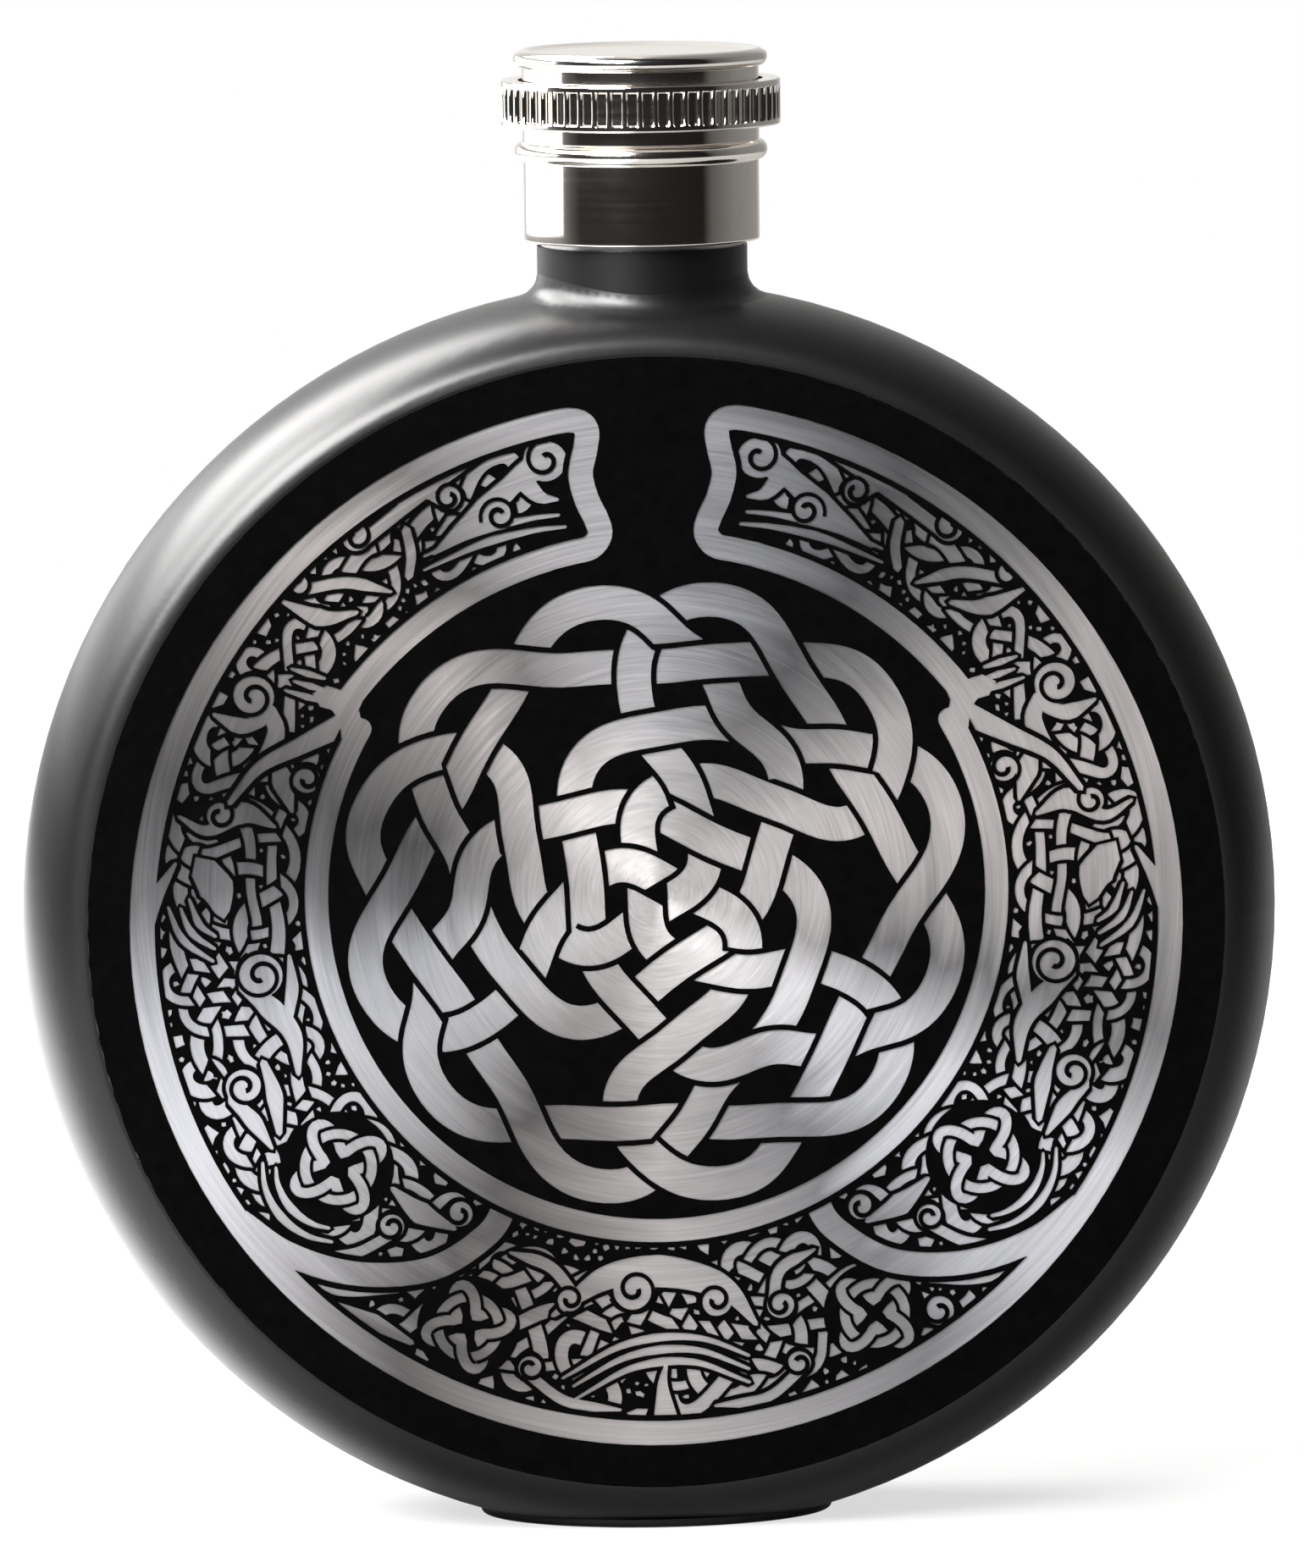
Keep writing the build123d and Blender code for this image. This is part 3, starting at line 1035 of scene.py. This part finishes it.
def spun_steel():
    """Plain turned steel of the spout."""
    n = Nodes("spun_steel")
    line = n.noise(n.stretched(*n.parts(n.place()), 40, 40, 3000), 1.0, 3)
    tone = n.ramp(line, (0.3, (0.50, 0.49, 0.48)), (0.7, (0.64, 0.63, 0.62)))
    return n.set(Base_Color=tone, Metallic=1.0, Roughness=n.between(line, 0.22, 0.38))


def moulded(name, dark, light, roughness):
    """Plain moulded plastic or rubber with a faint mottle."""
    n = Nodes(name)
    mottle = n.noise(n.place(), 700, 3)
    tone = n.ramp(mottle, (0.3, dark), (0.7, light))
    return n.set(Base_Color=tone, Roughness=n.between(mottle, roughness - 0.05, roughness + 0.05))


# ---- turned pieces of the cap

def ring_surface(name, section, segments, wave=None):
    """Closed mesh of a section in (radius, height) turned about the neck's axis.

    wave(angle, radius, height) gives the radius to use for a point.
    """
    verts, columns = [], []
    for k in range(segments):
        a = 2 * pi * k / segments
        column = []
        for i, (r, z) in enumerate(section):
            if r == 0 and k:
                column.append(columns[0][i])
                continue
            r = wave(a, r, z) if wave else r
            column.append(len(verts))
            verts.append((r * cos(a) * MM, r * sin(a) * MM, z * MM))
        columns.append(column)
    faces = []
    for k, here in enumerate(columns):
        there = columns[(k + 1) % segments]
        for i in range(len(section)):
            j = (i + 1) % len(section)
            face = list(dict.fromkeys((here[i], there[i], there[j], here[j])))
            if len(face) > 2:
                faces.append(face)
    return new_object(name, verts, faces)


def round_corners(corners):
    """Section outline from (radius, height, corner radius) points, each corner turned with a small arc."""
    out = []
    for k, (r, z, size) in enumerate(corners):
        p = np.array([r, z])
        if size <= 0:
            out.append(p)
            continue
        a = unit(np.array(corners[k - 1][:2]) - p)
        b = unit(np.array(corners[(k + 1) % len(corners)][:2]) - p)
        half = np.arccos(np.clip(np.dot(a, b), -1, 1)) / 2
        centre = p + unit(a + b) * size / sin(half)
        first = p + a * size / np.tan(half) - centre
        last = p + b * size / np.tan(half) - centre
        start = atan2(first[1], first[0])
        sweep = (atan2(last[1], last[0]) - start + pi) % (2 * pi) - pi
        count = max(2, int(abs(degrees(sweep)) / 12) + 1)
        for t in np.linspace(start, start + sweep, count):
            out.append(centre + size * np.array([cos(t), sin(t)]))
    return out


def bead(low, high, waist, crest):
    """Points up the outside of a rounded bead between two heights."""
    middle, half = (low + high) / 2, (high - low) / 2
    rise = crest - waist
    radius = (half ** 2 + rise ** 2) / (2 * rise)
    return [(crest - radius + sqrt(radius ** 2 - (z - middle) ** 2), z) for z in np.linspace(low, high, 14)]


def cap_skin():
    """The plated cap: skirt, rolled bead, waist, top bead and a shallow dished top."""
    low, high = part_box("cap_shell")
    foot, top = low.z / MM, high.z / MM
    skirt, waist, wall, crest = 9.5, 9.55, 0.5, high.x / MM
    low_bead = (foot + 6.45, foot + 8.1)
    top_bead = top - 1.45
    outside = round_corners([(skirt - wall, foot, 0.12), (skirt, foot, 0.2), (skirt, foot + 1, 0)])
    outside += bead(*low_bead, skirt, crest - 0.05)
    outside += [(waist, low_bead[1] + 0.05), (waist, top_bead)]
    outside += bead(top_bead, top, waist, crest)[1:-3]
    dish = [(r, top - drop) for r, drop in
            ((9.66, 0.05), (9.45, 0), (9.2, 0.03), (8.9, 0.12), (8.5, 0.22), (8.0, 0.25), (0, 0.25))]
    inside = [(0, top - 0.8), (skirt - wall, top - 0.8), (skirt - wall, foot + 1.2)]
    return ring_surface("cap_skin", outside + dish + inside, 192)


def ribbed_ring():
    """The grip ring: narrow rounded ribs with flat slots between, inside two plain rims."""
    low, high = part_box("grip_ring")
    foot, top, outer = low.z / MM, high.z / MM, high.x / MM
    inner, depth, rim, ribs, rib_half = 9.5, 0.40, 0.42, 56, 0.31
    section = round_corners([(inner, foot, 0.05), (outer, foot, 0.16), (outer, foot + rim, 0)])
    section.append((outer, foot + rim + 0.05))
    section += [(outer, z) for z in np.linspace(foot + rim + 0.16, top - rim - 0.16, 4)]
    section.append((outer, top - rim - 0.05))
    section += round_corners([(outer, top - rim, 0), (outer, top, 0.16), (inner, top, 0.05)])

    def wave(angle, radius, height):
        if radius < outer - 0.001 or not foot + rim + 0.1 < height < top - rim - 0.1:
            return radius
        across = ((angle * ribs / (2 * pi)) % 1 - 0.5) * 2 * pi * outer / ribs
        if abs(across) >= rib_half:
            return outer - depth
        return outer - depth + depth * sqrt(max(0.0, 1 - (across / rib_half) ** 2)) ** 0.8

    return ring_surface("ribbed_ring", section, ribs * 18, wave)


def smooth(piece, angle):
    """Smooth shading, but sharp where faces meet at more than the angle."""
    mesh = piece.data
    mesh.polygons.foreach_set("use_smooth", [True] * len(mesh.polygons))
    mesh.set_sharp_from_angle(angle=radians(angle))


def finish_nodes(material, *names):
    """Gives CAD nodes their finish."""
    for name in names:
        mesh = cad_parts[name].data
        mesh.materials.clear()
        mesh.materials.append(material)


# ---- camera, lights and stage

def make_camera():
    """A long lens a little to the left of the front and a little above the flask, with a slight roll."""
    azimuth, elevation, roll = radians(-3.0), radians(6.5), radians(-0.66)
    distance = 1.1
    target = Vector((0.0003, 0, 0.05945))
    frame_width = 0.10570
    data = bpy.data.cameras.new("camera")
    data.sensor_fit = "HORIZONTAL"
    data.sensor_width = 36
    data.lens = data.sensor_width * distance / frame_width
    data.clip_start = 0.05
    data.clip_end = 50
    camera = bpy.data.objects.new("camera", data)
    toward = Vector((sin(azimuth) * cos(elevation), -cos(azimuth) * cos(elevation), sin(elevation)))
    camera.location = target + toward * distance
    look = (-toward).to_track_quat("-Z", "Y").to_matrix().to_4x4()
    camera.matrix_world = Matrix.Translation(camera.location) @ look @ Matrix.Rotation(roll, 4, "Z")
    bpy.context.scene.collection.objects.link(camera)
    bpy.context.scene.camera = camera


def area_light(name, place, width, height, power, tint=(1, 1, 1)):
    """A soft box that looks at the middle of the flask."""
    data = bpy.data.lights.new(name, "AREA")
    data.shape = "RECTANGLE"
    data.size = width
    data.size_y = height
    data.energy = power
    data.color = tint
    light = bpy.data.objects.new(name, data)
    light.location = place
    light.rotation_euler = (Vector((0, 0, 0.06)) - Vector(place)).to_track_quat("-Z", "Y").to_euler()
    light.visible_camera = False
    bpy.context.scene.collection.objects.link(light)


def make_lights():
    """Soft boxes in a row from the upper left front to the upper left back, and a small one by the cap."""
    daylight = (1, 0.99, 0.98)
    area_light("key_front", (-0.40, -0.63, 0.57), 0.45, 0.45, 40, daylight)
    area_light("key_middle", (-0.60, -0.24, 0.68), 0.6, 0.45, 28, daylight)
    area_light("key_back", (-0.53, 0.30, 0.72), 0.9, 0.7, 38, daylight)
    area_light("cap_left", (-0.20, 0.12, 0.12), 0.35, 0.08, 0.18)


def make_world():
    """White to the eye. For light and reflections: bright behind, grey to the sides and dark in front."""
    n = Nodes("studio", world=True)
    bpy.context.scene.world = n.set(Color=grey(1), Strength=1.0)
    x, y, _ = n.parts(n.add("ShaderNodeTexCoord", "Generated"))
    turn = n.math("ARCTAN2", x, n.math("MULTIPLY", y, -1.0))
    part = n.add("ShaderNodeMapRange", "Result", Value=turn, From_Min=-pi, From_Max=pi)
    walls = ((-180, 1.1), (-150, 0.5), (-92, 0.32), (-76, 0.1), (-66, 0.03), (60, 0.015), (70, 0.13),
             (100, 0.26), (150, 0.35), (170, 0.7), (180, 1.1))
    tones = [((angle + 180) / 360, (level, level * 0.985, level * 0.965)) for angle, level in walls]
    room = n.add("ShaderNodeBackground", "Background", Color=n.ramp(part, *tones), Strength=0.9)
    mixer = n.tree.nodes.new("ShaderNodeMixShader")
    to_camera = n.add("ShaderNodeLightPath", "Is Camera Ray")
    for socket, source in zip(mixer.inputs, (to_camera, room, n.shader.outputs[0])):
        n.give(socket, source)
    n.give(n.tree.nodes["World Output"].inputs["Surface"], mixer.outputs[0])


def floor_paper():
    """Pale paper. It glows like the backdrop to the eye, and for reflections only on its left side: there the
    glow is a painted pool of light.
    """
    n = Nodes("floor_paper")
    x, y, _ = n.parts(n.place())
    seen = n.ramp(n.math("MULTIPLY", n.length(x, y), 2), (0.2, grey(0.68)), (0.8, grey(1.0)))
    # Painted pool of light: for reflections a strip of the table left of the flask glows three times as
    # bright as the backdrop, faintly elsewhere.
    painted_glow_pool = n.ramp(n.math("ADD", x, 0.5), (0.25, grey(0.15)), (0.35, grey(1.0)), (0.44, grey(1.0)),
                 (0.48, grey(0.03)), (0.65, grey(0.03)), (0.9, grey(0.12)))
    others = n.mix("MULTIPLY", 1.0, painted_glow_pool, (3.0, 3.0, 3.0, 1))
    to_camera = n.add("ShaderNodeLightPath", "Is Camera Ray")
    return n.set(Base_Color=grey(0.10), Roughness=0.9, Specular_IOR_Level=0.0, Emission_Strength=1.0,
                 Emission_Color=n.mix("MIX", to_camera, others, seen))


def make_floor():
    """A round table top. It stops short in front, so that the plating has the dark room to reflect."""
    radius, set_back = 0.55, 0.25
    rim = [(radius * cos(radians(a)), set_back + radius * sin(radians(a)), 0) for a in range(0, 360, 4)]
    floor = new_object("floor", rim, [list(range(len(rim)))])
    floor.data.materials.append(floor_paper())


# ---- assembly

def engraving():
    pattern = Pattern()
    panels(pattern)
    blank(pattern)
    bands(pattern)
    centre_knot(pattern)
    return pattern


coat = engraved_coat(engraving())
coat.data.materials.append(disc_enamel())
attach(coat, "flask")
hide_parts("face_coat")

plating = nickel()
for piece, node in ((cap_skin(), "cap_shell"), (ribbed_ring(), "grip_ring")):
    piece.data.materials.append(plating)
    smooth(piece, 40)
    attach(piece, "cap")
    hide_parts(node)

finish_nodes(powder_coat(), "front_shell", "back_shell", "base_plate")
finish_nodes(brushed_steel(), "face_plate")
finish_nodes(spun_steel(), "spout")
finish_nodes(moulded("lining_plastic", (0.55, 0.54, 0.50), (0.62, 0.61, 0.57), 0.45), "thread_insert")
finish_nodes(moulded("seal_rubber", (0.03, 0.03, 0.03), (0.05, 0.05, 0.05), 0.75), "cap_seal")

make_camera()
make_lights()
make_world()
make_floor()
bpy.context.scene.view_settings.view_transform = "Standard"
